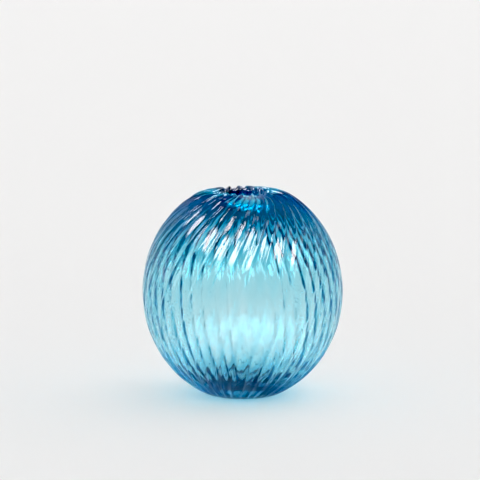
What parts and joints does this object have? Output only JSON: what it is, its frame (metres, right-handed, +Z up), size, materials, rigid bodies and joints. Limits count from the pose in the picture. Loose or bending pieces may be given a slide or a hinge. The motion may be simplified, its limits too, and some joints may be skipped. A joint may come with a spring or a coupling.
{
  "type": "glass bud vase",
  "caption": "Small blue glass globe vase with a narrow rolled mouth and shallow swirled ribs, for short flower stems.",
  "frame": {"origin": "on the table, in the middle of the ground ring", "axes": "+Z up along the vase's axis; the vase looks the same from every side, apart from which rib faces -Y"},
  "size_m": [0.0996, 0.0994, 0.102],
  "materials": {
    "blue_glass": "transparent cyan-blue mould-blown glass, fire-polished, with a ground ring underneath"
  },
  "bodies": {
    "root": {"glass_body": "blue_glass"}
  },
  "joints": []
}
